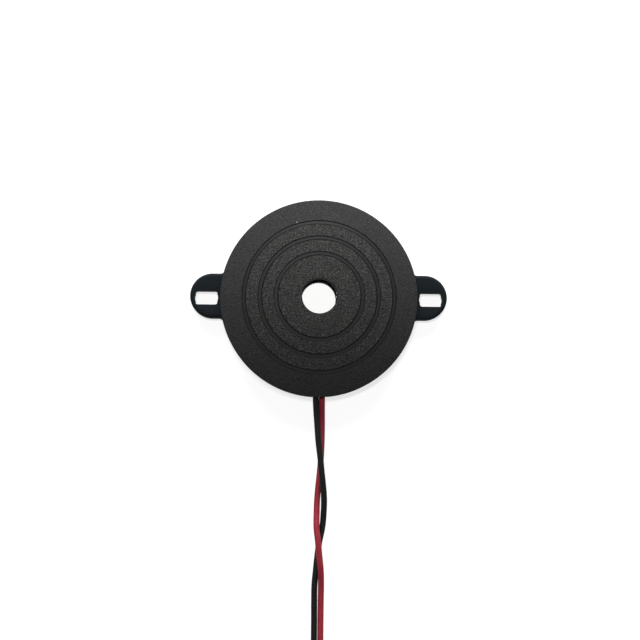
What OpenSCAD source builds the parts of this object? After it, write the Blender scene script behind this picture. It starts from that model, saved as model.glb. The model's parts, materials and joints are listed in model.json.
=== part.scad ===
// Piezo buzzer: a round case with a domed front, two slotted ears and a pair of leads.
// It lies on its back: the sound hole faces +Z, the ears lie along X, the leads leave at -Y.
// The origin is the centre of the back plane, and every size is in millimetres.

/* [Case] */
// Space between the side wall and the collar that holds the plate
side_gap = 0.95; // [0.5:0.05:3]
// Thickness of the side wall
case_wall = 1.5; // [1.3:0.1:2]
// Thickness of the domed front
front_wall = 1.4; // [1.1:0.1:2]
// Radius that the front is domed to
crown_r = 49; // [42:1:90]
// Rounding between the front and the side wall
rim_round = 0.4; // [0.3:0.1:1.2]

/* [Sound hole and rings] */
// Diameter of the sound hole
hole_d = 7.3; // [5:0.1:10]
// Chamfer round the mouth of the sound hole
hole_edge = 0.15; // [0.1:0.05:0.5]
// Number of ring grooves in the front
ring_count = 3; // [1:1:3]
// Middle radius of the inmost ring groove
ring_first_r = 9.1; // [7.5:0.1:9.5]
// Distance from one ring groove to the next
ring_pitch = 3.4; // [2:0.1:3.6]
// Width of a ring groove at the surface
ring_w = 0.95; // [0.5:0.05:1.2]
// Depth of a ring groove
ring_depth = 0.15; // [0.1:0.05:0.5]
// How much narrower a ring groove is at its floor, on each side
ring_draft = 0.06; // [0.02:0.01:0.1]

/* [Ears] */
// Width of an ear
ear_w = 9.6; // [8:0.1:12]
// Distance from the line of the slots to the middle of an ear, away from the leads
ear_y = 0.45; // [0:0.05:0.8]
// Thickness of an ear
ear_t = 2.5; // [2:0.1:3]
// Rounding along the upper edge of an ear
ear_round = 0.7; // [0.2:0.1:1]
// Fillet between an ear and the side wall, seen from the front
ear_neck = 1; // [0.5:0.1:2]
// Length of a screw slot
slot_l = 5; // [4:0.1:8]
// Width of a screw slot
slot_w = 2.9; // [2.4:0.1:3]
// Radius of the curved ends of a screw slot
slot_end_r = 1.56; // [1.52:0.02:1.9]
// How far the curved ends reach beyond the corners of a screw slot
slot_bulge = 0.15; // [0.1:0.01:0.3]
// Corner radius of a screw slot
slot_corner = 0.5; // [0.3:0.05:0.8]
// Distance from the side wall to a screw slot
slot_inset = 0.5; // [0.3:0.1:2]
// Material between a screw slot and the tip of its ear
slot_web = 1; // [0.8:0.1:2]

/* [Back cover] */
// Thickness of the back cover
cover_t = 1; // [0.8:0.1:1.4]
// Depth that the back cover lies below the back edge of the case
cover_recess = 0.2; // [0.1:0.05:0.4]
// Width of the step that the back cover is pressed against
cover_step = 0.4; // [0.3:0.1:0.6]
// Clearance round the back cover
cover_gap = 0.1; // [0.05:0.05:0.2]

/* [Sound element] */
// Diameter of the metal plate
plate_d = 35; // [31:0.5:36]
// Thickness of the metal plate
plate_t = 0.3; // [0.2:0.05:0.5]
// Clearance round the metal plate
plate_gap = 0.15; // [0.05:0.05:0.3]
// Bare rim of the metal plate round the ceramic disc
plate_rim = 5; // [4:0.1:6]
// Thickness of the ceramic disc
ceramic_t = 0.25; // [0.15:0.05:0.4]
// Thickness of the silver electrodes
electrode_t = 0.05; // [0.03:0.01:0.1]
// Bare edge of the ceramic round the electrodes
electrode_edge = 0.7; // [0.3:0.1:1.5]
// Width of the feedback electrode
tongue_w = 4; // [3:0.1:6]
// Length of the feedback electrode
tongue_l = 8; // [6:0.1:10]
// Bare gap between the two electrodes
tongue_gap = 0.6; // [0.3:0.1:1]
// Width of the ledge that the plate is bonded to
ledge_w = 1; // [0.6:0.1:1.6]
// Height of the ledge at its outer edge
ledge_h = 0.1; // [0.05:0.05:0.5]
// Wall of the collar that centres the plate
collar_wall = 0.9; // [0.7:0.1:1.2]
// Depth of the collar below the plate
collar_drop = 0.6; // [0.4:0.1:1]
// Width of the adhesive bead on the plate
bead_w = 1; // [0.5:0.1:1.8]
// Bare edge of the collar below the adhesive bead
bead_lip = 0.1; // [0.05:0.05:0.3]

/* [Driver board] */
// Length of the board
board_l = 20; // [18:0.5:24]
// Width of the board
board_w = 12; // [12:0.5:14]
// Thickness of the board
board_t = 0.8; // [0.6:0.1:1]
// Distance from the middle of the case to the middle of the board
board_y = 2; // [1:0.1:3]
// Diameter of the two posts under the board
post_d = 2.4; // [2:0.1:3]
// Height of the two posts
post_h = 0.2; // [0.2:0.1:0.6]
// Distance from the end of the board to a post
post_inset = 2; // [1.6:0.1:2.2]
// Diameter of the pins through the board
pin_d = 1.2; // [1:0.1:1.5]
// Clearance round a pin
pin_gap = 0.05; // [0.02:0.01:0.1]
// Diameter of a pin's melted head
stake_d = 2; // [1.8:0.1:2.6]
// Height of a pin's melted head
stake_h = 0.3; // [0.2:0.1:0.5]
// Height of the tallest part on the board
tallest_part = 0.9; // [0.9:0.1:2]
// Clearance between the tallest part and the sound element
element_gap = 0.4; // [0.4:0.05:1]

/* [Board parts] */
// Length, width and height of the transistor's body
transistor_size = [2.9, 1.3, 0.9];
// Width of a terminal of the transistor or the diode
terminal_w = 0.42; // [0.3:0.02:0.5]
// Thickness of a terminal
terminal_t = 0.15; // [0.1:0.01:0.2]
// Reach of a terminal beyond its body
terminal_l = 0.55; // [0.4:0.05:0.8]
// Reach of a terminal's knee beyond its body
terminal_knee = 0.22; // [0.2:0.01:0.3]
// Length of a terminal inside its body
terminal_root = 0.2; // [0.1:0.05:0.3]
// Bevel of the transistor's and the diode's body
chip_bevel = 0.1; // [0.05:0.01:0.2]
// Distance between two terminals on one side of the transistor
terminal_pitch = 1.9; // [1.6:0.1:2]
// Length, width and height of a resistor
resistor_size = [2, 1.25, 0.5];
// Length of a resistor's end cap
resistor_cap = 0.4; // [0.3:0.05:0.6]
// Thickness of a resistor's end cap
resistor_skin = 0.05; // [0.03:0.01:0.1]
// Length, width and height of the diode's body
diode_size = [2.7, 1.6, 0.9];
// Diameter of the choke's flanges
choke_d = 4; // [3:0.1:4.4]
// Diameter of the choke's core inside the winding
choke_core_d = 1.8; // [1.2:0.1:2.4]
// Thickness of one flange of the choke
choke_flange = 0.25; // [0.2:0.05:0.3]
// Depth of the winding below the edge of the flanges
choke_sink = 0.25; // [0.1:0.05:0.5]

/* [Wires and solder] */
// Diameter of the fine wires between the board and the element
wire_d = 0.4; // [0.3:0.02:0.5]
// Radius of a solder joint on the board or the element
joint_r = 0.7; // [0.5:0.05:0.9]
// Radius of a solder joint at its top
joint_top_r = 0.48; // [0.3:0.02:0.5]
// Height of a solder joint
joint_h = 0.3; // [0.2:0.05:0.3]
// Distance from the edge of an electrode to its solder joint
dot_inset = 2; // [1:0.1:2.5]

/* [Leads] */
// Diameter of a lead over its insulation
lead_d = 1.3; // [1.2:0.02:1.3]
// Diameter of a lead's tinned strands
strand_d = 0.5; // [0.4:0.02:0.6]
// Solder under the strands on the board
strand_lift = 0.08; // [0.05:0.01:0.15]
// Stripped length at the free end of a lead
strip_out = 4; // [2:0.5:6]
// Stripped length at the board end of a lead
strip_in = 2; // [1.6:0.1:2.5]
// Distance between the two leads where they leave the case
lead_gap = 0.06; // [0.06:0.02:0.2]
// Clearance between the leads and the back cover
lead_lift = 0.05; // [0.05:0.01:0.05]
// Clearance above the leads and at each side of them, where they leave the case
notch_gap = 0.15; // [0.1:0.05:0.3]
// Distance from the middle of the case to the middle of the pair of leads
notch_x = 0.3; // [0:0.1:0.5]

/* [Hidden] */
$fn = 96;
CUT = 1;

// Levels from the back plane up to the element
cover_top = cover_recess + cover_t;
board_base = cover_top + post_h;
board_top = board_base + board_t;
electrode_base = board_top + tallest_part + element_gap;
ceramic_base = electrode_base + electrode_t;
plate_base = ceramic_base + ceramic_t;
plate_top = plate_base + plate_t;

// Radii from the element out to the side of the case, which is 42 mm across
plate_r = plate_d / 2;
ceramic_r = plate_r - plate_rim;
electrode_r = ceramic_r - electrode_edge;
collar_r = plate_r + plate_gap;
cavity_r = collar_r + collar_wall + side_gap;
case_r = cavity_r + case_wall;
cover_seat_r = cavity_r + cover_step;
collar_base = plate_base - collar_drop;

// The inside of the dome passes just above the outer edge of the plate's ledge.
crown_in_r = crown_r - front_wall;
crown_z = plate_top + ledge_h - sqrt(pow(crown_in_r, 2) - pow(collar_r, 2));
case_h = crown_z + crown_r;

// Centre of the rim's rounding, which is tangent to the side wall and to the dome
rim_x = case_r - rim_round;
rim_z = crown_z + sqrt(pow(crown_r - rim_round, 2) - pow(rim_x, 2));
rim_tilt = atan2(rim_x, rim_z - crown_z);
RIM_STEPS = 8;

// Plan of the ears
slot_x = case_r + slot_inset + slot_l / 2;
ear_tip_x = slot_x + slot_l / 2 + slot_web;
ear_end_x = ear_tip_x - ear_w / 2;
EDGE_STEPS = 6;
EARS = [0, 1];
// How far the circle of an ear's fillet reaches into the side wall, so that the two cross cleanly
NECK_BITE = 0.02;

// Notch that the leads leave by, and the tongue of the cover that closes it below them
notch_w = 2 * lead_d + lead_gap + 2 * notch_gap;
notch_top = cover_top + lead_lift + lead_d + notch_gap;

// Places of the parts on the board, from its middle
post_x = board_l / 2 - post_inset;
transistor_at = [-3.6, 0.4];
base_resistor_at = [0, 1.2];
collector_resistor_at = [0, -1.6];
diode_at = [-0.4, 4.3];
choke_at = [4.2, 0.6];

// Solder joints on the board, from its middle, and on the element, from the middle of the case
ground_pad = [-5.2, -4.4];
drive_pad = [5.2, -4.4];
feedback_pad = [-5.6, 4.4];
GROUND_DOT_TURN = 190;
DRIVE_DOT_TURN = -26;
ground_dot = around(ceramic_r + (plate_rim - bead_w) / 2, GROUND_DOT_TURN);
drive_dot = around(electrode_r - dot_inset, DRIVE_DOT_TURN);
feedback_dot = around(electrode_r - dot_inset, 90);

// Points along each lead, from the board to the free end: they twist round each other twice,
// the black lead over the red one and then the red one over the black.
BLACK_RUN = [
  [-1.6, -4.6, 2.53], [-1.6, -6, 2.53], [-1.45, -8.5, 2.45], [-1, -12, 2.15], [-0.5, -16, 1.95],
  [-0.45, -19, 1.95], [-0.45, -21.2, 2], [-0.34, -23.5, 1.93], [-0.08, -26.8, 1.8], [0.22, -30.5, 1.9],
  [0.6, -33.5, 1.97], [0.9, -36.5, 1.98], [1.25, -39.5, 1.86], [1.5, -42.5, 1.4], [1.45, -45.5, 0.9],
  [1.2, -48.5, 0.66], [0.6, -51.5, 0.66], [0.2, -54.5, 0.66], [-0.1, -57.5, 0.66],
  [-0.36, -60.5, 0.66], [-0.4, -64, 0.66], [-0.38, -68, 0.66], [-0.38, -72, 0.66],
  [-0.38, -76, 0.66], [-0.38, -80, 0.66], [-0.38, -83.5, 0.66]
];
RED_RUN = [
  [1.6, -4.6, 2.53], [1.6, -6, 2.53], [1.55, -8.5, 2.45], [1.3, -12, 2.15], [1.03, -16, 1.95],
  [0.9, -19, 1.9], [0.87, -21.2, 1.86], [0.88, -23.5, 1.3], [0.93, -27, 0.75], [0.9, -30.5, 0.66],
  [0.8, -33.5, 0.66], [0.6, -36.5, 0.66], [0.3, -39.5, 0.66], [0.05, -42.5, 0.66], [-0.05, -45.5, 0.9],
  [-0.05, -48.5, 1.6], [0.3, -51.5, 2], [0.6, -54.5, 1.98], [0.92, -57.5, 1.7],
  [1.02, -60.5, 1.1], [1, -64, 0.7], [0.98, -68, 0.66], [0.98, -72, 0.66],
  [0.98, -76, 0.66], [0.98, -80, 0.66], [0.98, -83.5, 0.66]
];
// The free ends curl round in one open turn: its centre, and the angle that each lead follows it for
CURL_AT = [-7, -86.5];
CURL_STEP = 17;
BLACK_CURL = 255;
RED_CURL = 204;
black_route = concat(BLACK_RUN, curl(BLACK_RUN, BLACK_CURL));
red_route = concat(RED_RUN, curl(RED_RUN, RED_CURL));

function last(list) = list[len(list) - 1];
function unit(v) = v / norm(v);
function mix(a, b, t) = a + (b - a) * t;
function around(r, turn) = r * [cos(turn), sin(turn)];

// Points of a lead round the open turn, clockwise from the side that the lead comes in on
function curl(run, angle) =
  let (r = last(run)[0] - CURL_AT[0], z = last(run)[2])
  [for (a = [0:CURL_STEP:angle]) [CURL_AT[0] + r * cos(a), CURL_AT[1] - r * sin(a), z]];

// Direction of a route at one of its points
function heading(p, i) = unit(p[min(i + 1, len(p) - 1)] - p[max(i - 1, 0)]);

// Route of a fine wire: up off the board, across, and up to the element
WIRE_RISE = 0.35;
WIRE_STEPS = [0.1, 0.5, 0.9];
function wire_route(from, to) = let (rise = [0, 0, (to[2] - from[2]) * WIRE_RISE]) concat(
  [from, from + rise],
  [for (t = WIRE_STEPS) mix(from + rise, to - rise, t)],
  [to - rise, to]
);

// Points on the board and on the element at the level of the solder there
function on_board(at) = [at[0], at[1] + board_y, board_top + joint_h];
function on_element(at, base) = [at[0], at[1], base - joint_h];

// A solid tube along a route: up is a direction that the route never runs along
module tube(route, d, up = [0, 0, 1]) {
  sides = 8;
  count = len(route);
  points = [
    for (i = [0:count - 1])
      let (t = heading(route, i), across = unit(cross(t, up)), lift = cross(across, t))
        for (k = [0:sides - 1])
          let (a = (k + 0.5) * 360 / sides)
            route[i] + d / 2 * (cos(a) * across + sin(a) * lift)
  ];
  walls = [
    for (i = [0:count - 2])
      for (k = [0:sides - 1])
        let (j = (k + 1) % sides)
          [i * sides + k, i * sides + j, (i + 1) * sides + j, (i + 1) * sides + k]
  ];
  start = [for (k = [sides - 1:-1:0]) k];
  finish = [for (k = [0:sides - 1]) (count - 1) * sides + k];
  polyhedron(points, concat([start], walls, [finish]));
}

// The solid inside a dome that is centred on the axis of the case
module inside_dome(r) {
  translate([0, 0, crown_z]) sphere(r = r, $fn = 240);
}

// A disc about the axis of the case, between two levels
module disc(r, low, high) {
  translate([0, 0, low]) cylinder(r = r, h = high - low);
}

// What is cut off outside the rim's rounding
module rim_cut() {
  arc = [
    for (i = [0:RIM_STEPS])
      let (a = rim_tilt + (90 - rim_tilt) * i / RIM_STEPS)
        [rim_x + rim_round * sin(a), rim_z + rim_round * cos(a)]
  ];
  above = arc[0] + CUT * [sin(rim_tilt), cos(rim_tilt)];
  beside = [case_r + CUT, rim_z];
  rotate_extrude() polygon(concat(arc, [beside, [case_r + CUT, above[1]], above]));
}

// One ring groove, square to the domed surface, with drafted sides
module ring_cut(r) {
  tilt = asin(r / crown_r);
  floor_w = ring_w - 2 * ring_draft;
  rotate_extrude()
    translate([0, crown_z])
      rotate(-tilt)
        translate([0, crown_r])
          polygon([
            [-floor_w / 2, -ring_depth], [floor_w / 2, -ring_depth],
            [ring_w / 2, 0], [ring_w / 2, CUT], [-ring_w / 2, CUT], [-ring_w / 2, 0]
          ]);
}

// Half of the ear's cross-section, from its middle to its rounded upper edge
function ear_half() = concat(
  [[0, 0], [ear_w / 2, 0]],
  [
    for (i = [0:EDGE_STEPS])
      let (a = 90 * i / EDGE_STEPS)
        [ear_w / 2 - ear_round * (1 - cos(a)), ear_t - ear_round * (1 - sin(a))]
  ],
  [[0, ear_t]]
);

// An ear that points along +X: a straight stretch out of the case and a round end
module ear() {
  translate([0, ear_y, 0]) {
    for (side = [0, 1])
      mirror([0, side, 0])
        translate([cavity_r, 0, 0])
          rotate([90, 0, 90])
            linear_extrude(ear_end_x - cavity_r) polygon(ear_half());
    translate([ear_end_x, 0, 0])
      rotate([0, 0, -90])
        rotate_extrude(angle = 180) polygon(ear_half());
  }
  for (side = [-1, 1])
    ear_fillet(side);
}

// The fillet between one side of the ear and the side wall
module ear_fillet(side) {
  edge = ear_w / 2 + side * ear_y;
  reach = case_r + ear_neck - NECK_BITE;
  y = edge + ear_neck;
  x = sqrt(pow(reach, 2) - pow(y, 2));
  foot = case_r * [x, y] / reach;
  linear_extrude(ear_t - ear_round)
    scale([1, side])
      difference() {
        polygon([foot, [x, y], [x, edge], [cavity_r, edge - ear_neck], [cavity_r, foot[1]]]);
        translate([x, y]) circle(r = ear_neck);
      }
}

// Plan of a screw slot: flat sides, small corners and ends that bulge to seat a screw
module slot_plan() {
  flat_l = slot_l - 2 * slot_bulge;
  square([flat_l - 2 * slot_corner, slot_w], center = true);
  square([flat_l, slot_w - 2 * slot_corner], center = true);
  for (sx = [-1, 1], sy = [-1, 1])
    translate([sx * (flat_l / 2 - slot_corner), sy * (slot_w / 2 - slot_corner)])
      circle(r = slot_corner);
  intersection() {
    square([slot_l + CUT, slot_w], center = true);
    for (side = [-1, 1])
      translate([side * (slot_l / 2 - slot_end_r), 0]) circle(r = slot_end_r);
  }
}

// A screw slot through the ear that points along +X
module slot_cut() {
  translate([slot_x, 0, -CUT]) linear_extrude(ear_t + 2 * CUT) slot_plan();
}

// The moulded outside: a domed disc with its ring grooves and ears
module case_outside() {
  difference() {
    intersection() {
      disc(case_r, 0, case_h + CUT);
      inside_dome(crown_r);
    }
    rim_cut();
    for (i = [0:ring_count - 1])
      ring_cut(ring_first_r + i * ring_pitch);
  }
  for (side = EARS)
    mirror([side, 0, 0]) ear();
}

// The room behind the front, and the step that takes the back cover
module case_inside() {
  intersection() {
    disc(cavity_r, cover_top - CUT, case_h);
    inside_dome(crown_in_r);
  }
  disc(cover_seat_r, -CUT, cover_top);
}

// The collar that centres the plate, with the ledge that carries it
module plate_collar() {
  intersection() {
    difference() {
      disc(collar_r + collar_wall, collar_base, case_h);
      disc(collar_r, collar_base - CUT, plate_top);
      disc(collar_r - ledge_w, collar_base - CUT, case_h + CUT);
    }
    inside_dome(crown_r - front_wall / 2);
  }
}

module housing() {
  color([0.1, 0.1, 0.105])
    difference() {
      union() {
        difference() {
          case_outside();
          case_inside();
        }
        plate_collar();
      }
      disc(hole_d / 2, plate_top, case_h + CUT);
      translate([0, 0, case_h - hole_edge])
        cylinder(r1 = hole_d / 2, r2 = hole_d / 2 + hole_edge + CUT, h = hole_edge + CUT);
      for (side = EARS)
        mirror([side, 0, 0]) slot_cut();
      translate([notch_x - notch_w / 2, -case_r - CUT, -CUT])
        cube([notch_w, case_wall + 2 * CUT, notch_top + CUT]);
    }
}

module back_cover() {
  tongue_half = notch_w / 2 - cover_gap;
  color([0.09, 0.09, 0.095]) {
    disc(cover_seat_r - cover_gap, cover_recess, cover_top);
    intersection() {
      disc(case_r - cover_gap, cover_recess, cover_top);
      translate([notch_x - tongue_half, -case_r, 0])
        cube([2 * tongue_half, case_wall + CUT, cover_top]);
    }
    for (side = [-1, 1])
      translate([side * post_x, board_y, 0]) {
        disc(post_d / 2, cover_top, board_base);
        disc(pin_d / 2, board_base, board_top);
        disc(stake_d / 2, board_top, board_top + stake_h);
      }
  }
}

module diaphragm_plate() {
  color([0.86, 0.86, 0.84]) disc(plate_r, plate_base, plate_top);
}

module piezo_ceramic() {
  color([0.82, 0.78, 0.68]) disc(ceramic_r, ceramic_base, plate_base);
}

// Plan of the feedback electrode, a tongue that reaches in from the edge, grown by a margin
module tongue_plan(margin) {
  w = tongue_w + 2 * margin;
  inner_y = electrode_r - tongue_l + tongue_w / 2;
  intersection() {
    circle(r = electrode_r + (margin > 0 ? CUT : 0));
    union() {
      translate([0, inner_y]) circle(r = w / 2);
      translate([-w / 2, inner_y]) square([w, tongue_l + CUT]);
    }
  }
}

module main_electrode() {
  color([0.8, 0.8, 0.8])
    translate([0, 0, electrode_base])
      linear_extrude(electrode_t)
        difference() {
          circle(r = electrode_r);
          tongue_plan(tongue_gap);
        }
}

module feedback_electrode() {
  color([0.8, 0.8, 0.8])
    translate([0, 0, electrode_base]) linear_extrude(electrode_t) tongue_plan(0);
}

module adhesive_ring() {
  inner = plate_r - bead_w;
  color([0.9, 0.9, 0.86])
    rotate_extrude()
      polygon([[inner, plate_base], [collar_r, collar_base + bead_lip], [collar_r, plate_base]]);
}

module circuit_board() {
  color([0.72, 0.58, 0.34])
    difference() {
      translate([-board_l / 2, board_y - board_w / 2, board_base]) cube([board_l, board_w, board_t]);
      for (side = [-1, 1])
        translate([side * post_x, board_y, 0])
          disc(pin_d / 2 + pin_gap, board_base - CUT, board_top + CUT);
    }
}

// Puts a part on the board, at a place measured from the board's middle
module on_top(at) {
  translate([at[0], at[1] + board_y, board_top]) children();
}

// A body with bevelled sides, standing on the board
module chip_body(size) {
  half = size[0] / 2;
  waist = terminal_t;
  rotate([90, 0, 0])
    linear_extrude(size[1], center = true)
      polygon([
        [-half + chip_bevel, 0], [half - chip_bevel, 0], [half, size[2] / 2 - waist],
        [half, size[2] / 2], [half - chip_bevel, size[2]], [-half + chip_bevel, size[2]],
        [-half, size[2] / 2], [-half, size[2] / 2 - waist]
      ]);
}

// A bent terminal that leaves a body at half its height and stands on the board
module terminal(body_h) {
  high = body_h / 2;
  inner = terminal_knee - terminal_t;
  rotate([90, 0, 0])
    linear_extrude(terminal_w, center = true)
      polygon([
        [-terminal_root, high - terminal_t], [inner, high - terminal_t], [inner, 0],
        [terminal_l, 0], [terminal_l, terminal_t], [terminal_knee, terminal_t],
        [terminal_knee, high], [-terminal_root, high]
      ]);
}

module transistor() {
  across = transistor_size[1] / 2;
  high = transistor_size[2];
  color([0.12, 0.12, 0.12])
    on_top(transistor_at) {
      chip_body(transistor_size);
      for (side = [-1, 1])
        translate([side * terminal_pitch / 2, -across, 0]) rotate([0, 0, -90]) terminal(high);
      translate([0, across, 0]) rotate([0, 0, 90]) terminal(high);
    }
}

// A resistor with a cap over each end
module resistor(at) {
  cap = [resistor_cap, resistor_size[1], resistor_size[2]];
  color([0.15, 0.15, 0.16])
    on_top(at) {
      translate([0, 0, resistor_size[2] / 2])
        cube(resistor_size - 2 * resistor_skin * [1, 1, 1], center = true);
      for (side = [-1, 1])
        translate([side * (resistor_size[0] - resistor_cap) / 2, 0, resistor_size[2] / 2])
          cube(cap, center = true);
    }
}

module base_resistor() {
  resistor(base_resistor_at);
}

module collector_resistor() {
  resistor(collector_resistor_at);
}

module diode() {
  color([0.14, 0.13, 0.12])
    on_top(diode_at) {
      chip_body(diode_size);
      for (turn = [0, 180])
        rotate([0, 0, turn]) translate([diode_size[0] / 2, 0, 0]) terminal(diode_size[2]);
    }
}

// A drum-shaped core whose flanges hold the winding
module choke_core() {
  r = choke_d / 2;
  core = choke_core_d / 2;
  color([0.2, 0.2, 0.21])
    on_top(choke_at)
      rotate_extrude()
        polygon([
          [0, 0], [r, 0], [r, choke_flange], [core, choke_flange],
          [core, tallest_part - choke_flange], [r, tallest_part - choke_flange],
          [r, tallest_part], [0, tallest_part]
        ]);
}

module choke_winding() {
  color([0.7, 0.36, 0.16])
    on_top(choke_at)
      difference() {
        disc(choke_d / 2 - choke_sink, choke_flange, tallest_part - choke_flange);
        disc(choke_core_d / 2, 0, tallest_part);
      }
}

// A solder joint that tapers away from the face it stands on
module solder_joint() {
  cylinder(r1 = joint_r, r2 = joint_top_r, h = joint_h);
}

// The tinned strands at the board end of a lead
module strands(route) {
  translate([route[0][0], route[0][1], board_top + strand_lift + strand_d / 2])
    rotate([-90, 0, 0]) cylinder(d = strand_d, h = strip_in);
}

module board_solder() {
  color([0.75, 0.76, 0.78]) {
    for (pad = [ground_pad, drive_pad, feedback_pad])
      on_top(pad) solder_joint();
    for (route = [black_route, red_route])
      difference() {
        translate([route[0][0], route[0][1] + strip_in, board_top])
          cylinder(r1 = joint_r, r2 = joint_top_r, h = strand_lift + strand_d + joint_h / 2);
        strands(route);
      }
  }
}

module element_solder() {
  color([0.75, 0.76, 0.78]) {
    translate([ground_dot[0], ground_dot[1], plate_base]) mirror([0, 0, 1]) solder_joint();
    for (dot = [drive_dot, feedback_dot])
      translate([dot[0], dot[1], electrode_base]) mirror([0, 0, 1]) solder_joint();
  }
}

// A fine wire from a pad on the board to a solder joint on the element
module wire(pad, dot, base) {
  from = on_board(pad);
  to = on_element(dot, base);
  tube(wire_route(from, to), wire_d, unit(cross(to - from, [0, 0, 1])));
}

module ground_wire() {
  color([0.12, 0.12, 0.12]) wire(ground_pad, ground_dot, plate_base);
}

module drive_wire() {
  color([0.7, 0.1, 0.1]) wire(drive_pad, drive_dot, electrode_base);
}

module feedback_wire() {
  color([0.2, 0.3, 0.6]) wire(feedback_pad, feedback_dot, electrode_base);
}

module red_lead() {
  color([0.5, 0.08, 0.1]) tube(red_route, lead_d);
}

module black_lead() {
  color([0.08, 0.08, 0.08]) tube(black_route, lead_d);
}

// The tinned strands at the free end of a lead, in line with its last stretch
module tip(route) {
  end = len(route) - 1;
  along = heading(route, end);
  translate(route[end])
    rotate([0, 90, atan2(along[1], along[0])]) cylinder(d = strand_d, h = strip_out);
}

module red_lead_strands() {
  color([0.75, 0.75, 0.76]) strands(red_route);
}

module black_lead_strands() {
  color([0.75, 0.75, 0.76]) strands(black_route);
}

module red_lead_tip() {
  color([0.75, 0.75, 0.76]) tip(red_route);
}

module black_lead_tip() {
  color([0.75, 0.75, 0.76]) tip(black_route);
}

housing();
back_cover();
diaphragm_plate();
piezo_ceramic();
main_electrode();
feedback_electrode();
adhesive_ring();
circuit_board();
transistor();
base_resistor();
collector_resistor();
diode();
choke_core();
choke_winding();
board_solder();
element_solder();
ground_wire();
drive_wire();
feedback_wire();
red_lead();
black_lead();
red_lead_strands();
black_lead_strands();
red_lead_tip();
black_lead_tip();
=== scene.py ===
"""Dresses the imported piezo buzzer: camera, leads, moulded case, materials, light and floor."""

import json
import math

import bmesh
import bpy
from mathutils import Matrix, Vector


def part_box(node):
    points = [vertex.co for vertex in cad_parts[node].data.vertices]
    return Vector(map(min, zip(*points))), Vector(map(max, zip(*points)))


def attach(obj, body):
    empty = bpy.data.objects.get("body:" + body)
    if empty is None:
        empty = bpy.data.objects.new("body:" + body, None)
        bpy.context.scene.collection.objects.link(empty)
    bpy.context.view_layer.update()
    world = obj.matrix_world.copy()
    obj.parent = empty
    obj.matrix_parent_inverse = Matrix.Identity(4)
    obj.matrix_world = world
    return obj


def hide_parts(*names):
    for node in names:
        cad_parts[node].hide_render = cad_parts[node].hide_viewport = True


MM = 0.001
WHITE = (1, 1, 1, 1)

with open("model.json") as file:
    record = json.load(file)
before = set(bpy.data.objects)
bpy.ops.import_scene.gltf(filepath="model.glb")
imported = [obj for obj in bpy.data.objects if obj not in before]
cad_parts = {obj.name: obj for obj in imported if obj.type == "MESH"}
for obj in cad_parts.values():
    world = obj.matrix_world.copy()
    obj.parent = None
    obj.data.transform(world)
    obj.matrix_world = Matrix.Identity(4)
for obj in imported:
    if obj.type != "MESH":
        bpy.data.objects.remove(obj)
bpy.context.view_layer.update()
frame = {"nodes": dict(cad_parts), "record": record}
nodes = frame["nodes"]
scene = bpy.context.scene
scene.view_settings.view_transform = "Standard"

# Camera, in millimetres: it looks down on the front from the leads' side.
CAMERA_AT = Vector((-6.86, -28.42, 302.57))
CAMERA_AIM = Vector((0.257, -4.673, 4.0))
CAMERA_ROLL = math.radians(0.491)
CAMERA_LENS = 79.4
CAMERA_SENSOR = 36
CAMERA_NEAR = 10

# Leads, in millimetres and degrees: the same points as the leads of the part.
LEAD_D = 1.3
BLACK_RUN = [
    (-1.6, -4.6, 2.53), (-1.6, -6, 2.53), (-1.45, -8.5, 2.45), (-1, -12, 2.15), (-0.5, -16, 1.95),
    (-0.45, -19, 1.95), (-0.45, -21.2, 2), (-0.34, -23.5, 1.93), (-0.08, -26.8, 1.8), (0.22, -30.5, 1.9),
    (0.6, -33.5, 1.97), (0.9, -36.5, 1.98), (1.25, -39.5, 1.86), (1.5, -42.5, 1.4), (1.45, -45.5, 0.9),
    (1.2, -48.5, 0.66), (0.6, -51.5, 0.66), (0.2, -54.5, 0.66), (-0.1, -57.5, 0.66),
    (-0.36, -60.5, 0.66), (-0.4, -64, 0.66), (-0.38, -68, 0.66), (-0.38, -72, 0.66),
    (-0.38, -76, 0.66), (-0.38, -80, 0.66), (-0.38, -83.5, 0.66),
]
RED_RUN = [
    (1.6, -4.6, 2.53), (1.6, -6, 2.53), (1.55, -8.5, 2.45), (1.3, -12, 2.15), (1.03, -16, 1.95),
    (0.9, -19, 1.9), (0.87, -21.2, 1.86), (0.88, -23.5, 1.3), (0.93, -27, 0.75), (0.9, -30.5, 0.66),
    (0.8, -33.5, 0.66), (0.6, -36.5, 0.66), (0.3, -39.5, 0.66), (0.05, -42.5, 0.66), (-0.05, -45.5, 0.9),
    (-0.05, -48.5, 1.6), (0.3, -51.5, 2), (0.6, -54.5, 1.98), (0.92, -57.5, 1.7),
    (1.02, -60.5, 1.1), (1, -64, 0.7), (0.98, -68, 0.66), (0.98, -72, 0.66),
    (0.98, -76, 0.66), (0.98, -80, 0.66), (0.98, -83.5, 0.66),
]
CURL_AT = (-7, -86.5)
CURL_STEP = 17
BLACK_CURL = 255
RED_CURL = 204

# Bare ends of the leads, in millimetres and degrees: strands twisted round one in the middle.
BUNDLE_D = 0.5
STRIP_OUT = 4
OUTER_STRANDS = 6
STRAND_TWIST = 200

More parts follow.
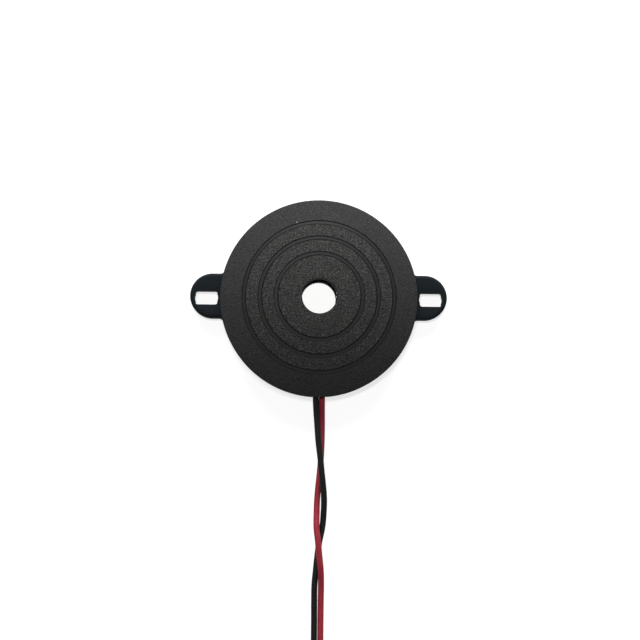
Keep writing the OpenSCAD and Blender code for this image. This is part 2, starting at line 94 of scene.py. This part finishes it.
# Case, in millimetres: the part's own sizes.
CASE_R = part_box("housing")[1].y / MM
EAR_TIP_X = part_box("housing")[1].x / MM
PLATE_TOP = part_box("diaphragm_plate")[1].z / MM
COVER_TOP = 1.2
CASE_WALL = 1.5
COVER_STEP = 0.4
CROWN_R = 49
FRONT_WALL = 1.4
COLLAR_R = 17.65
COLLAR_WALL = 0.9
COLLAR_BASE = 3.2
LEDGE_W = 1
LEDGE_H = 0.1
RIM_ROUND = 0.4
HOLE_R = 3.65
HOLE_EDGE = 0.15
RING_RADII = (15.9, 12.5, 9.1)
RING_W = 0.95
RING_DEPTH = 0.15
RING_DRAFT = 0.06
NOTCH_X = 0.3
NOTCH_W = 2.96
NOTCH_TOP = 2.7
EAR_W = 9.6
EAR_Y = 0.45
EAR_T = 2.5
EAR_ROUND = 0.7
EAR_NECK = 1
SLOT_X = 24
SLOT_L = 5
SLOT_W = 2.9
SLOT_END_R = 1.56
SLOT_BULGE = 0.15
SLOT_CORNER = 0.5
CROWN_IN_R = CROWN_R - FRONT_WALL
CROWN_Z = PLATE_TOP + LEDGE_H - math.sqrt(CROWN_IN_R**2 - COLLAR_R**2)
CAVITY_R = CASE_R - CASE_WALL

# Finer forms of the case, in millimetres: softened edges, the width of a strip of painted shade at the inner
# foot of each groove, and a speck of dust.
BASE_ROUND = 0.15
RING_EDGE = 0.03
# Width of the strip of painted shade along the foot of each groove's inner side.
RING_SHADE_STRIP = 0.18
SLOT_EDGE = 0.12
DUST_AT = (-4.85, 15.9)
DUST_R = 0.24

# Steps along the curved forms, and the angle from which an edge is sharp.
TUBE_STEPS = 6
LEAD_STEPS = 10
STRAND_STEPS = 12
BASE_STEPS = 4
RIM_STEPS = 10
DOME_STEPS = 12
DOME_IN_STEPS = 16
MOUTH_STEPS = 6
NOTCH_STEPS = 6
ROUND_STEPS = 250
NECK_STEPS = 8
EAR_END_STEPS = 48
EAR_EDGE_STEPS = 8
SLOT_STEPS = 5
SLOT_EDGE_STEPS = 3
SHARP_ANGLE = math.radians(38)

# Finishes of the case, in the order of its materials; the last is painted shade on the grooves' sides and
# along the foot of their inner side.
CASE_FINISHES = ("case_textured", "case_plastic", "case_rim", "case_ring", "case_ring_painted_shade")
TEXTURED, SMOOTH, RIM, RING_FLOOR, RING_PAINTED_SHADE = range(len(CASE_FINISHES))

# Grain of the plastic, with sizes and depths in millimetres.
COARSE_SIZE = 0.9
COARSE_DEPTH = 0.05
FINE_SIZE = 0.3
SHADE_SIZE = 0.24
PIT_STOP = 0.24
PLAIN_STOPS = (0.47, 0.52)
SPECK_STOP = 0.78
TEXTURED_ROUGHNESS = 0.85
TEXTURED_RANGE = (0.78, 0.9)
SMOOTH_ROUGHNESS = 0.56
SMOOTH_SPREAD = 0.04
SMOOTH_DEPTH = 0.006
PLASTIC_SPECULAR = 0.06
DUST_COLOUR = (0.2, 0.2, 0.2)

# Uneven roughness of the rolled plate, as a share of its own.
METAL_SPREAD = 0.1

# The part of a noise's range that turns into roughness, and into a second shade.
ROUGH_RANGE = (0.3, 0.7)
SHADE_RANGE = (0.35, 0.7)
NOISE_ROUGHNESS = 0.6

# Sockets of a Mix node that mixes colours.
MIX_FROM = 6
MIX_TO = 7
MIX_RESULT = 2

# Insulation: its colour and a darker shade.
INSULATION = {
    "wire_black": ((0.015, 0.015, 0.015), (0.01, 0.01, 0.01)),
    "wire_red": ((0.32, 0.01, 0.012), (0.24, 0.008, 0.01)),
    "wire_blue": ((0.02, 0.06, 0.25), (0.015, 0.045, 0.2)),
    "lead_red": ((0.366, 0.036, 0.052), (0.287, 0.028, 0.041)),
    "lead_black": ((0.009, 0.009, 0.0085), (0.006, 0.006, 0.0055)),
}

# Small parts: material, two shades, roughness, the grain's size and depth in millimetres, and 1 for metal.
GRAINY = {
    "ceramic": ("ceramic", (0.72, 0.66, 0.52), (0.6, 0.54, 0.41), 0.6, 0.5, 0.01, 0),
    "silver": ("silver_paste", (0.82, 0.82, 0.8), (0.68, 0.68, 0.65), 0.4, 0.6, 0.004, 1),
    "silicone": ("silicone", (0.8, 0.8, 0.76), (0.7, 0.7, 0.66), 0.45, 1.5, 0.03, 0),
    "board": ("paper_laminate", (0.5, 0.34, 0.14), (0.4, 0.26, 0.1), 0.5, 1.0, 0.01, 0),
    "part_black": ("part_black", (0.02, 0.02, 0.02), (0.03, 0.03, 0.03), 0.45, 0.2, 0.006, 0),
    "ferrite": ("ferrite", (0.06, 0.06, 0.065), (0.035, 0.035, 0.04), 0.55, 0.25, 0.01, 0),
    "enamelled_copper": ("copper", (0.55, 0.2, 0.07), (0.4, 0.13, 0.04), 0.3, 0.15, 0.02, 1),
    "solder": ("solder", (0.7, 0.71, 0.73), (0.55, 0.56, 0.58), 0.28, 0.4, 0.01, 1),
}

# Lamps, in metres and watts: both aim at the middle of the back.
LAMP_AIM = Vector((0, 0, 0))
LAMPS = {
    "key": {"place": (0.0, 0.66, 0.25), "size": (0.7, 0.3), "power": 8.6},
    "top": {"place": (-0.055, 0.111, 0.6), "size": (0.2, 0.03), "power": 1.2},
}

# World and floor, in metres: the world's strength as light and as seen, and the floor's as seen near and far.
WORLD_LIGHT = 0.05
WORLD_SEEN = 1.0
FLOOR_REACH = 2.0
FLOOR_CELLS = 8
FLOOR_COLOUR = (0.6, 0.6, 0.6)
FLOOR_ROUGHNESS = 0.9
FLOOR_SPECULAR = 0.1
FLOOR_NEAR_FAR = (0.08, 0.5)
FLOOR_SEEN = (0.75, 0.97)


def add_object(name, data):
    made = bpy.data.objects.new(name, data)
    scene.collection.objects.link(made)
    return made


def make_camera():
    data = bpy.data.cameras.new("camera")
    data.lens = CAMERA_LENS
    data.sensor_width = CAMERA_SENSOR
    data.clip_start = CAMERA_NEAR * MM
    ahead = (CAMERA_AIM - CAMERA_AT).normalized()
    right = ahead.cross(Vector((0, 1, 0))).normalized()
    up = right.cross(ahead)
    rolled_right = right * math.cos(CAMERA_ROLL) + up * math.sin(CAMERA_ROLL)
    rolled_up = up * math.cos(CAMERA_ROLL) - right * math.sin(CAMERA_ROLL)
    turn = Matrix((rolled_right, rolled_up, -ahead)).transposed().to_4x4()
    camera = add_object("camera", data)
    camera.matrix_world = Matrix.Translation(CAMERA_AT * MM) @ turn
    scene.camera = camera


def curl(run, angle):
    """Points of a lead round its open turn, clockwise from the side that it comes in on."""
    radius = run[-1][0] - CURL_AT[0]
    turns = [math.radians(a) for a in range(0, angle + 1, CURL_STEP)]
    return [
        (CURL_AT[0] + radius * math.cos(a), CURL_AT[1] - radius * math.sin(a), run[-1][2])
        for a in turns
    ]


def new_curve(name, routes, diameter, smooth=True):
    """A round curve along each route, whose points are in millimetres.

    The points' own radius gives its thickness, because the curve's box grows by that radius."""
    data = bpy.data.curves.new(name, "CURVE")
    data.dimensions = "3D"
    data.bevel_depth = 1
    data.bevel_resolution = TUBE_STEPS
    data.resolution_u = LEAD_STEPS
    data.use_fill_caps = True
    for route in routes:
        spline = data.splines.new("BEZIER" if smooth else "POLY")
        points = spline.bezier_points if smooth else spline.points
        points.add(len(route) - 1)
        for point, place in zip(points, route):
            place = Vector(place) * MM
            point.co = place if smooth else (*place, 1)
            point.radius = diameter / 2 * MM
            if smooth:
                point.handle_left_type = point.handle_right_type = "AUTO"
    return add_object(name, data)


def twisted_strands(name, route):
    """Tinned strands, laid up with a slow twist, that stand out of the end of a lead."""
    end = Vector(route[-1])
    along = (end - Vector(route[-2])).normalized()
    across = along.cross(Vector((0, 0, 1))).normalized()
    lift = across.cross(along)
    # Three strands lie side by side across the bundle.
    strand_r = BUNDLE_D / 6
    routes = []
    for k in range(OUTER_STRANDS + 1):
        lay_r = 0 if k == OUTER_STRANDS else 2 * strand_r
        path = []
        for i in range(STRAND_STEPS + 1):
            a = math.radians(360 / OUTER_STRANDS * k + STRAND_TWIST * i / STRAND_STEPS)
            offset = lay_r * (math.cos(a) * across + math.sin(a) * lift)
            path.append(end + along * STRIP_OUT * i / STRAND_STEPS + offset)
        routes.append(path)
    return new_curve(name, routes, 2 * strand_r, smooth=False)


def make_lead(colour, run, angle):
    """A lead with its bare end. It leaves the case near the exit point of its run."""
    route = run + curl(run, angle)
    lead = new_curve(f"{colour}_insulation", [route], LEAD_D)
    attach(lead, "root")
    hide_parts(f"{colour}_lead")
    tip = twisted_strands(f"{colour}_tip", route)
    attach(tip, "root")
    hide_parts(f"{colour}_lead_tip")
    return lead, tip


def arc(centre, radius, start, end, steps):
    """Points along an arc, with its angles in degrees from the first axis."""
    angles = [math.radians(start + (end - start) * i / steps) for i in range(steps + 1)]
    return [(centre[0] + radius * math.cos(a), centre[1] + radius * math.sin(a)) for a in angles]


def on_dome(radius, r):
    """Height of a dome of the case at a distance from its axis."""
    return CROWN_Z + math.sqrt(radius**2 - r**2)


def dome_arc(radius, r_start, r_end, steps):
    start = math.degrees(math.acos(r_start / radius))
    end = math.degrees(math.acos(r_end / radius))
    return arc((0, CROWN_Z), radius, start, end, steps)


def ring_section(r):
    """The groove at a ring, from its outer lip to its inner lip, set square to the dome.

    Its points are the lip, the side's upper and lower end, the edge of the strip of painted shade on
    the floor, and the other side's lower and upper end and lip."""
    half = RING_W / 2
    floor_half = half - RING_DRAFT
    outer = [(half + RING_EDGE, 0), (half, -RING_EDGE), (floor_half, -RING_DEPTH)]
    # The floor's last stretch, against the inner side, carries painted shade.
    inner = [(RING_SHADE_STRIP - floor_half, -RING_DEPTH)] + [(-u, v) for u, v in reversed(outer)]
    tilt = math.asin(r / CROWN_R)
    points = []
    for u, v in outer + inner:
        a = tilt + u / CROWN_R
        points.append(((CROWN_R + v) * math.sin(a), CROWN_Z + (CROWN_R + v) * math.cos(a)))
    return points


def case_profile():
    """Section of the case from its back edge over the front and back along the inside.

    Returns the points, the stretches of them that are textured, and the places of the two
    points at the top of the lead notch."""
    rim_x = CASE_R - RIM_ROUND
    rim_z = CROWN_Z + math.sqrt((CROWN_R - RIM_ROUND) ** 2 - rim_x**2)
    rim_rise = math.degrees(math.atan2(rim_z - CROWN_Z, rim_x))
    points = arc((CASE_R - BASE_ROUND, BASE_ROUND), BASE_ROUND, -90, 0, BASE_STEPS)
    notch_out = len(points)
    points.append((CASE_R, NOTCH_TOP))
    points += arc((rim_x, rim_z), RIM_ROUND, 0, rim_rise, RIM_STEPS)
    textured = []
    for r in RING_RADII:
        groove = ring_section(r)
        start = len(points) - 1
        points += dome_arc(CROWN_R, points[-1][0], groove[0][0], DOME_STEPS)[1:-1] + groove
        textured.append(range(start, len(points) - len(groove)))
    mouth_r = HOLE_R + HOLE_EDGE
    start = len(points) - 1
    points += dome_arc(CROWN_R, points[-1][0], mouth_r, DOME_STEPS)[1:]
    textured.append(range(start, len(points) - 1))
    mouth_z = points[-1][1]
    points += arc((mouth_r, mouth_z - HOLE_EDGE), HOLE_EDGE, 90, 180, MOUTH_STEPS)[1:]
    points.append((HOLE_R, on_dome(CROWN_IN_R, HOLE_R)))
    points += dome_arc(CROWN_IN_R, HOLE_R, COLLAR_R - LEDGE_W, DOME_IN_STEPS)[1:]
    collar_out = COLLAR_R + COLLAR_WALL
    points += [
        (COLLAR_R - LEDGE_W, PLATE_TOP), (COLLAR_R, PLATE_TOP), (COLLAR_R, COLLAR_BASE),
        (collar_out, COLLAR_BASE), (collar_out, on_dome(CROWN_IN_R, collar_out)),
        (CAVITY_R, on_dome(CROWN_IN_R, CAVITY_R)),
    ]
    notch_in = len(points)
    seat_r = CAVITY_R + COVER_STEP
    points += [(CAVITY_R, NOTCH_TOP), (CAVITY_R, COVER_TOP), (seat_r, COVER_TOP), (seat_r, 0)]
    return points, textured, (notch_out, notch_in)


def row_finishes(rows, textured):
    """The finish of each row of faces along the section of the case."""
    front = textured[0].start
    finish = [RIM] * front + [SMOOTH] * (rows - front)
    # Painted shade: darkens each groove's chamfers, sides and the strip at the foot of its inner side; only
    # its floor keeps the groove's own finish.
    for i in range(front, textured[-1].stop):
        finish[i] = RING_PAINTED_SHADE
    for band, stretch in enumerate(textured):
        for i in stretch:
            finish[i] = RIM if band == 0 else TEXTURED
    for stretch in textured[:-1]:
        # A groove's floor follows two rows down its outer side.
        finish[stretch.stop + 2] = RING_FLOOR
    return finish


def mesh_piece(name, bm, materials):
    """An object from a bmesh in millimetres, smooth but for its sharp edges."""
    bmesh.ops.recalc_face_normals(bm, faces=bm.faces)
    bmesh.ops.scale(bm, vec=(MM, MM, MM), verts=bm.verts)
    data = bpy.data.meshes.new(name)
    bm.to_mesh(data)
    bm.free()
    for face in data.polygons:
        face.use_smooth = True
    data.set_sharp_from_angle(angle=SHARP_ANGLE)
    for material in materials:
        data.materials.append(material)
    return add_object(name, data)


def case_shell(materials):
    """The round case: its section turned about the axis, with the notch that the leads leave by."""
    profile, textured, (notch_out, notch_in) = case_profile()
    rows = len(profile)
    finish = row_finishes(rows, textured)
    notch_lo = math.atan2(-CASE_R, NOTCH_X - NOTCH_W / 2)
    notch_hi = math.atan2(-CASE_R, NOTCH_X + NOTCH_W / 2)
    rest = 2 * math.pi - (notch_hi - notch_lo)
    angles = [notch_lo + (notch_hi - notch_lo) * i / NOTCH_STEPS for i in range(NOTCH_STEPS)]
    angles += [notch_hi + rest * i / ROUND_STEPS for i in range(ROUND_STEPS)]
    bm = bmesh.new()
    columns = [
        [bm.verts.new((r * math.cos(a), r * math.sin(a), z)) for r, z in profile] for a in angles
    ]
    notch_rows = [*range(notch_in, rows), *range(notch_out + 1)]
    for j, column in enumerate(columns):
        after = columns[(j + 1) % len(columns)]
        for i in range(rows):
            k = (i + 1) % rows
            if j < NOTCH_STEPS and i in notch_rows and k in notch_rows:
                continue
            face = bm.faces.new((column[i], after[i], after[k], column[k]))
            face.material_index = finish[i]
        if j < NOTCH_STEPS:
            top = bm.faces.new((column[notch_out], after[notch_out], after[notch_in], column[notch_in]))
            top.material_index = SMOOTH
    for column in (columns[0], columns[NOTCH_STEPS]):
        bm.faces.new([column[i] for i in notch_rows]).material_index = SMOOTH
    return mesh_piece("case_shell", bm, materials)


def ear_outline(inset):
    """Outline of the ear along +X, from above, moved inwards by the inset."""
    necks = []
    for side in (1, -1):
        neck_y = EAR_W / 2 + side * EAR_Y + EAR_NECK
        neck_x = math.sqrt((CASE_R + EAR_NECK) ** 2 - neck_y**2)
        foot = 180 + math.degrees(math.atan2(neck_y, neck_x))
        neck = arc((neck_x, neck_y), EAR_NECK + inset, foot, 270, NECK_STEPS)
        necks.append([(x, side * y) for x, y in neck])
    end = arc((EAR_TIP_X - EAR_W / 2, EAR_Y), EAR_W / 2 - inset, 90, -90, EAR_END_STEPS)
    return necks[0] + end + necks[1][::-1]


def slot_outline(outset):
    """Outline of the screw slot along +X, moved outwards: flat sides, small corners, bulged ends."""
    flat = SLOT_L / 2 - SLOT_BULGE
    corner = (flat - SLOT_CORNER, SLOT_W / 2 - SLOT_CORNER)
    centre = SLOT_L / 2 - SLOT_END_R
    bulge = math.degrees(math.acos((flat + outset - centre) / (SLOT_END_R + outset)))
    upper = arc((centre, 0), SLOT_END_R + outset, 0, bulge, SLOT_STEPS)
    upper += arc(corner, SLOT_CORNER + outset, 0, 90, SLOT_STEPS)
    right = [(x, -y) for x, y in reversed(upper[1:])] + upper
    left = [(-x, -y) for x, y in right]
    return [(SLOT_X + x, y) for x, y in right + left]


def edge_levels(round_r, steps):
    """Inset and height of each line up a wall whose upper edge is rounded."""
    lines = [(0, 0)]
    for i in range(steps + 1):
        a = math.pi / 2 * i / steps
        lines.append((round_r * (1 - math.cos(a)), EAR_T - round_r * (1 - math.sin(a))))
    return lines


def wall_between(bm, loops):
    for low, high in zip(loops, loops[1:]):
        for i in range(len(low)):
            k = (i + 1) % len(low)
            bm.faces.new((low[i], low[k], high[k], high[i]))


def ears(material):
    """Both ears: rounded walls, a slot through each, and flat faces between them."""
    bm = bmesh.new()
    outlines = ((ear_outline, EAR_ROUND, EAR_EDGE_STEPS), (slot_outline, SLOT_EDGE, SLOT_EDGE_STEPS))
    for side in (1, -1):
        walls = []
        for outline, edge, steps in outlines:
            loops = [
                [bm.verts.new((side * x, y, z)) for x, y in outline(inset)]
                for inset, z in edge_levels(edge, steps)
            ]
            wall_between(bm, loops)
            walls.append(loops)
        for level in (0, -1):
            edges = []
            for loops in walls:
                loop = loops[level]
                edges += [bm.edges.get((loop[i], loop[(i + 1) % len(loop)])) for i in range(len(loop))]
            bmesh.ops.triangle_fill(bm, edges=edges, use_beauty=True)
    return mesh_piece("case_ears", bm, [material])


class Shader:
    """A material with one main shader, and short ways to add grain to it."""

    def __init__(self, name, colour, roughness, metallic=0.0, specular=0.5):
        self.material = bpy.data.materials.new(name)
        self.material.use_nodes = True
        self.tree = self.material.node_tree
        self.main = self.tree.nodes["Principled BSDF"]
        self.colour = (*colour, 1)
        self.set("Base Color", self.colour)
        self.set("Roughness", roughness)
        self.set("Metallic", metallic)
        self.set("Specular IOR Level", specular)
        self.place = self.tree.nodes.new("ShaderNodeTexCoord").outputs["Object"]
        self.height = None

    def set(self, socket, value):
        self.main.inputs[socket].default_value = value

    def node(self, kind, **values):
        made = self.tree.nodes.new(kind)
        for name, value in values.items():
            if name in made.inputs:
                made.inputs[name].default_value = value
            else:
                setattr(made, name, value)
        return made

    def link(self, output, node, socket):
        self.tree.links.new(output, node.inputs[socket])

    def noise(self, size, detail=4.0):
        """Noise whose features are about size millimetres across."""
        scale = 1 / (size * MM)
        noise = self.node("ShaderNodeTexNoise", Scale=scale, Detail=detail, Roughness=NOISE_ROUGHNESS)
        self.link(self.place, noise, "Vector")
        return noise.outputs["Fac"]

    def ramp(self, value, low, high, start=0.0, end=1.0):
        """The value stretched from low..high to start..end."""
        ramp = self.node("ShaderNodeMapRange")
        ramp.inputs["From Min"].default_value = low
        ramp.inputs["From Max"].default_value = high
        ramp.inputs["To Min"].default_value = start
        ramp.inputs["To Max"].default_value = end
        self.link(value, ramp, "Value")
        return ramp.outputs["Result"]

    def tint(self, value, other):
        """Mixes the base colour towards another one where the value is high."""
        mix = self.node("ShaderNodeMix", data_type="RGBA")
        mix.inputs[MIX_FROM].default_value = self.colour
        mix.inputs[MIX_TO].default_value = (*other, 1)
        self.link(self.ramp(value, *SHADE_RANGE), mix, "Factor")
        self.link(mix.outputs[MIX_RESULT], self.main, "Base Color")

    def shades(self, value, dark, light):
        """The base colour, darker where the value is low and lighter where it is high."""
        ramp = self.node("ShaderNodeValToRGB")
        stops = ramp.color_ramp.elements
        for stop, position, grey in zip(stops, (PIT_STOP, SPECK_STOP), (dark, light)):
            stop.position = position
            stop.color = (grey, grey, grey, 1)
        for position in PLAIN_STOPS:
            stops.new(position).color = self.colour
        self.link(value, ramp, "Fac")
        self.link(ramp.outputs["Color"], self.main, "Base Color")

    def fleck(self, centre, radius, colour):
        """A small speck, with its place and radius in millimetres, on top of the colour that is there."""
        away = self.node("ShaderNodeVectorMath", operation="DISTANCE")
        self.link(self.place, away, 0)
        away.inputs[1].default_value = Vector(centre) * MM
        mix = self.node("ShaderNodeMix", data_type="RGBA")
        self.link(self.main.inputs["Base Color"].links[0].from_socket, mix, MIX_FROM)
        mix.inputs[MIX_TO].default_value = (*colour, 1)
        self.link(self.ramp(away.outputs["Value"], radius * MM, radius / 2 * MM), mix, "Factor")
        self.link(mix.outputs[MIX_RESULT], self.main, "Base Color")

    def rough(self, value, low, high):
        self.link(self.ramp(value, *ROUGH_RANGE, low, high), self.main, "Roughness")

    def bump(self, value, depth):
        """Adds relief of a depth in millimetres on top of any relief that is there."""
        bump = self.node("ShaderNodeBump", Strength=1.0, Distance=depth * MM)
        self.link(value, bump, "Height")
        if self.height is not None:
            self.link(self.height, bump, "Normal")
        self.height = bump.outputs["Normal"]
        self.link(self.height, self.main, "Normal")


def textured_plastic(name, colour, relief, pit, speck):
    """Charcoal plastic with the fine spark-eroded grain of the mould."""
    shader = Shader(name, colour, TEXTURED_ROUGHNESS, specular=PLASTIC_SPECULAR)
    coarse = shader.noise(COARSE_SIZE, detail=3)
    fine = shader.noise(FINE_SIZE, detail=3)
    shader.shades(shader.noise(SHADE_SIZE, detail=1), pit, speck)
    shader.rough(coarse, *TEXTURED_RANGE)
    shader.bump(coarse, COARSE_DEPTH)
    shader.bump(fine, relief)
    return shader


def dusty_plastic(name, colour, relief, pit, speck):
    """The textured plastic round the rings, with one pale speck of dust on it."""
    shader = textured_plastic(name, colour, relief, pit, speck)
    shader.fleck((*DUST_AT, on_dome(CROWN_R, math.hypot(*DUST_AT))), DUST_R, DUST_COLOUR)
    return shader


def smooth_plastic(name, colour, roughness=SMOOTH_ROUGHNESS, specular=PLASTIC_SPECULAR):
    """The same plastic where the mould is polished."""
    shader = Shader(name, colour, roughness, specular=specular)
    shader.rough(shader.noise(size=1.6), roughness - SMOOTH_SPREAD, roughness + SMOOTH_SPREAD)
    shader.bump(shader.noise(size=0.5), SMOOTH_DEPTH)
    return shader


def pvc(name, colour, dark):
    shader = Shader(name, colour, roughness=0.45, specular=0.08)
    shader.tint(shader.noise(size=1.5), dark)
    shader.bump(shader.noise(size=0.35), depth=0.008)
    return shader


def rolled_metal(name, colour, roughness):
    shader = Shader(name, colour, roughness, metallic=1.0)
    low = roughness * (1 - METAL_SPREAD)
    high = roughness * (1 + METAL_SPREAD)
    shader.rough(shader.noise(size=3.0, detail=1), low, high)
    shader.bump(shader.noise(size=2.5, detail=1), depth=0.003)
    return shader


def plain_grain(name, colour, other, roughness, size, depth, metallic):
    """A small part's material: two shades and a little relief."""
    shader = Shader(name, colour, roughness, metallic=metallic)
    grain = shader.noise(size)
    shader.tint(grain, other)
    shader.bump(grain, depth)
    return shader


def make_materials():
    """The materials of the record's slots and of the finishes of the case."""
    shaders = {
        "case_textured": textured_plastic(
            "case_textured", (0.0418, 0.0415, 0.0402), relief=0.26, pit=0.004, speck=0.12
        ),
        "case_rim": dusty_plastic("case_rim", (0.0378, 0.0378, 0.0388), relief=0.1, pit=0.018, speck=0.071),
        "case_ring": smooth_plastic("case_ring", (0.0118, 0.0116, 0.0112), roughness=0.5, specular=0.18),
        # Painted shade: near-black for the grooves' sides and the strip at the foot of their inner side.
        "case_ring_painted_shade": smooth_plastic(
            "case_ring_painted_shade", (0.0056, 0.0056, 0.0056), roughness=0.6, specular=0.05
        ),
        # The smooth plastic of the ears and the case's smooth faces: its bluish cast is a painted reflection
        # of a bluish surround.
        "case_plastic": smooth_plastic("case_smooth_painted_blue_reflection", (0.0072, 0.0104, 0.0131)),
        "cover_plastic": smooth_plastic("cover_smooth", (0.012, 0.012, 0.0125)),
        "plate_metal": rolled_metal("plate_metal", (0.95, 0.95, 0.935), roughness=0.05),
    }
    for slot, values in GRAINY.items():
        shaders[slot] = plain_grain(*values)
    for slot, (colour, dark) in INSULATION.items():
        shaders[slot] = pvc(slot, colour, dark)
    return {slot: shader.material for slot, shader in shaders.items()}


def soft_light(name, place, size, power):
    data = bpy.data.lights.new(name, "AREA")
    data.shape = "RECTANGLE"
    data.size, data.size_y = size
    data.energy = power
    light = add_object(name, data)
    light.location = place
    light.rotation_euler = (LAMP_AIM - Vector(place)).to_track_quat("-Z", "Y").to_euler()


def seen_ray(tree):
    """1 where the background is seen, by the camera, in metal or through glass, and else 0."""
    path = tree.nodes.new("ShaderNodeLightPath")
    seen = path.outputs["Is Camera Ray"]
    for kind in ("Is Glossy Ray", "Is Transmission Ray"):
        either = tree.nodes.new("ShaderNodeMath")
        either.operation = "MAXIMUM"
        tree.links.new(seen, either.inputs[0])
        tree.links.new(path.outputs[kind], either.inputs[1])
        seen = either.outputs["Value"]
    return seen


def make_world():
    """A white world that gives little light."""
    world = bpy.data.worlds.new("studio")
    world.use_nodes = True
    tree = world.node_tree
    background = tree.nodes["Background"]
    background.inputs["Color"].default_value = WHITE
    glow = tree.nodes.new("ShaderNodeMapRange")
    glow.inputs["To Min"].default_value = WORLD_LIGHT
    glow.inputs["To Max"].default_value = WORLD_SEEN
    tree.links.new(seen_ray(tree), glow.inputs["Value"])
    tree.links.new(glow.outputs["Result"], background.inputs["Strength"])
    scene.world = world


def make_floor():
    """A plain floor that is seen paler with distance, up to the world's white, and keeps the shadow."""
    bm = bmesh.new()
    bmesh.ops.create_grid(bm, x_segments=FLOOR_CELLS, y_segments=FLOOR_CELLS, size=FLOOR_REACH)
    data = bpy.data.meshes.new("floor")
    bm.to_mesh(data)
    bm.free()
    shader = Shader("floor", FLOOR_COLOUR, FLOOR_ROUGHNESS, specular=FLOOR_SPECULAR)
    shader.set("Emission Color", WHITE)
    away = shader.node("ShaderNodeVectorMath", operation="LENGTH")
    shader.link(shader.place, away, 0)
    pale = shader.ramp(away.outputs["Value"], *FLOOR_NEAR_FAR, *FLOOR_SEEN)
    glow = shader.node("ShaderNodeMath", operation="MULTIPLY")
    shader.link(seen_ray(shader.tree), glow, 0)
    shader.link(pale, glow, 1)
    shader.link(glow.outputs["Value"], shader.main, "Emission Strength")
    data.materials.append(shader.material)
    add_object("floor", data)


def dress(materials):
    """Gives each CAD node the material of its slot in the record."""
    for part in frame["record"]["subparts"]:
        data = nodes[part["node"]].data
        data.materials.clear()
        data.materials.append(materials[part["material_slot"]])


make_camera()
materials = make_materials()
dress(materials)
for colour, run, angle in (("black", BLACK_RUN, BLACK_CURL), ("red", RED_RUN, RED_CURL)):
    lead, tip = make_lead(colour, run, angle)
    lead.data.materials.append(materials[f"lead_{colour}"])
    tip.data.materials.append(materials["solder"])
for piece in (
    case_shell([materials[name] for name in CASE_FINISHES]),
    ears(materials["case_plastic"]),
):
    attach(piece, "root")
    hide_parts("housing")
for name, values in LAMPS.items():
    soft_light(name, **values)
make_world()
make_floor()
